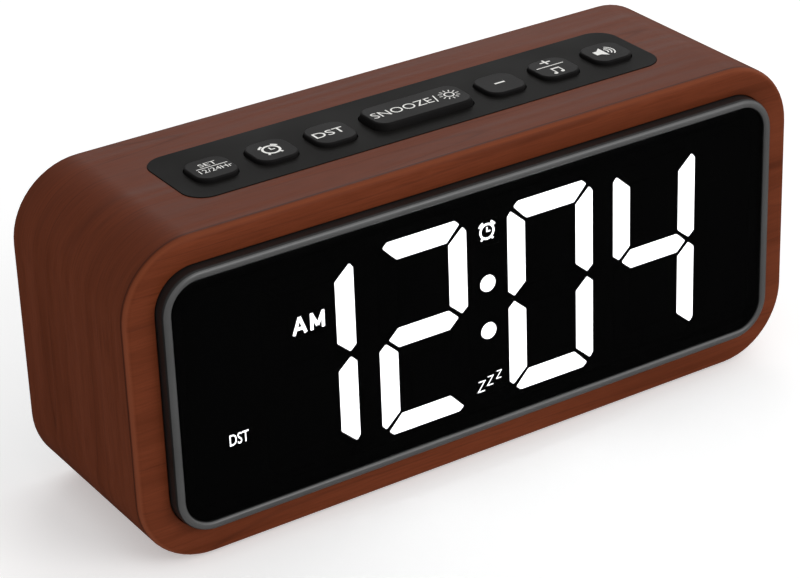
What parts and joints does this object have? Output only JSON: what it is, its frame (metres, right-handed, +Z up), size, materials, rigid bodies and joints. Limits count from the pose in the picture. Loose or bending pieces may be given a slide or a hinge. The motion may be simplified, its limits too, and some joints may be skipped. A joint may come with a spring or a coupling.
{
  "type": "digital alarm clock",
  "caption": "Bedside digital alarm clock: wood-grain case, raised black display with lit segment digits, push keys on top and a snooze bar",
  "frame": {"origin": "on the standing surface, under the middle of the clock's box", "axes": "+X across the clock to the viewer's right, -Y out of the display, +Z up"},
  "size_m": [0.16, 0.0498, 0.0718],
  "materials": {
    "wood_case": "walnut-grain wrap, satin",
    "rubber_feet": "matt",
    "gloss_black": "moulded, polished",
    "smoked_lens": "smoked acrylic, polished",
    "mask_film": "printed film",
    "inner_plastic": "moulded",
    "lit_segments": "lit white light guide",
    "unlit_segments": "dark light guide",
    "indicators": "printed film with lit legends",
    "led_chips": "clear resin",
    "circuit_board": "solder mask",
    "steel": "plated",
    "chip_plastic": "moulded epoxy",
    "keypad_plastic": "fine matt",
    "key_plastic": "fine satin",
    "ribbon_cable": "flat cable",
    "cover_plastic": "spark-eroded texture",
    "cell_sleeve": "printed sleeve",
    "nickel_plate": "nickel plated",
    "speaker_paper": "pressed paper",
    "wire_sleeve": "PVC sleeve"
  },
  "bodies": {
    "clock": {"case_shell": "wood_case", "rubber_feet": "rubber_feet", "front_bezel": "gloss_black", "display_lens": "smoked_lens", "segment_mask": "mask_film", "segment_housing": "inner_plastic", "hour_tens_lit_segments": "lit_segments", "hour_units_lit_segments": "lit_segments", "minute_tens_lit_segments": "lit_segments", "minute_units_lit_segments": "lit_segments", "unlit_segments": "unlit_segments", "colon_dots": "lit_segments", "indicator_windows": "indicators", "display_leds": "led_chips", "display_board": "circuit_board", "main_board": "circuit_board", "board_spacers": "inner_plastic", "board_screws": "steel", "pin_header": "inner_plastic", "controller_chip": "chip_plastic", "board_parts": "chip_plastic", "keypad_panel": "keypad_plastic", "key_switches": "chip_plastic", "key_board": "circuit_board", "key_board_screws": "steel", "key_ribbon": "ribbon_cable", "rear_cover": "cover_plastic", "cover_screws": "steel", "battery_cells": "cell_sleeve", "battery_contacts": "nickel_plate", "battery_springs": "nickel_plate", "speaker_frame": "inner_plastic", "speaker_cone": "speaker_paper", "speaker_magnet": "steel", "power_socket": "nickel_plate", "socket_tongue": "chip_plastic", "power_board": "circuit_board", "speaker_lead": "wire_sleeve", "battery_lead": "wire_sleeve", "power_lead": "wire_sleeve"},
    "set_key": {"set_key": "key_plastic"},
    "alarm_key": {"alarm_key": "key_plastic"},
    "dst_key": {"dst_key": "key_plastic"},
    "minus_key": {"minus_key": "key_plastic"},
    "plus_key": {"plus_key": "key_plastic"},
    "volume_key": {"volume_key": "key_plastic"},
    "snooze_key": {"snooze_key": "key_plastic"},
    "battery_door": {"battery_door": "cover_plastic"}
  },
  "joints": [
    {"name": "set_key_press", "type": "slide", "parent": "clock", "child": "set_key", "axis": [0, 0, -1], "range_m": [0, 0.0005], "stiffness_N_per_m": 800, "springref_m": -0.0006},
    {"name": "alarm_key_press", "type": "slide", "parent": "clock", "child": "alarm_key", "axis": [0, 0, -1], "range_m": [0, 0.0005], "stiffness_N_per_m": 800, "springref_m": -0.0006},
    {"name": "dst_key_press", "type": "slide", "parent": "clock", "child": "dst_key", "axis": [0, 0, -1], "range_m": [0, 0.0005], "stiffness_N_per_m": 800, "springref_m": -0.0006},
    {"name": "minus_key_press", "type": "slide", "parent": "clock", "child": "minus_key", "axis": [0, 0, -1], "range_m": [0, 0.0005], "stiffness_N_per_m": 800, "springref_m": -0.0006},
    {"name": "plus_key_press", "type": "slide", "parent": "clock", "child": "plus_key", "axis": [0, 0, -1], "range_m": [0, 0.0005], "stiffness_N_per_m": 800, "springref_m": -0.0006},
    {"name": "volume_key_press", "type": "slide", "parent": "clock", "child": "volume_key", "axis": [0, 0, -1], "range_m": [0, 0.0005], "stiffness_N_per_m": 800, "springref_m": -0.0006},
    {"name": "snooze_key_press", "type": "slide", "parent": "clock", "child": "snooze_key", "axis": [0, 0, -1], "range_m": [0, 0.0008], "stiffness_N_per_m": 800, "springref_m": -0.0006},
    {"name": "battery_door_pull", "type": "slide", "parent": "clock", "child": "battery_door", "axis": [0, 1, 0], "range_m": [0, 0.03]}
  ]
}
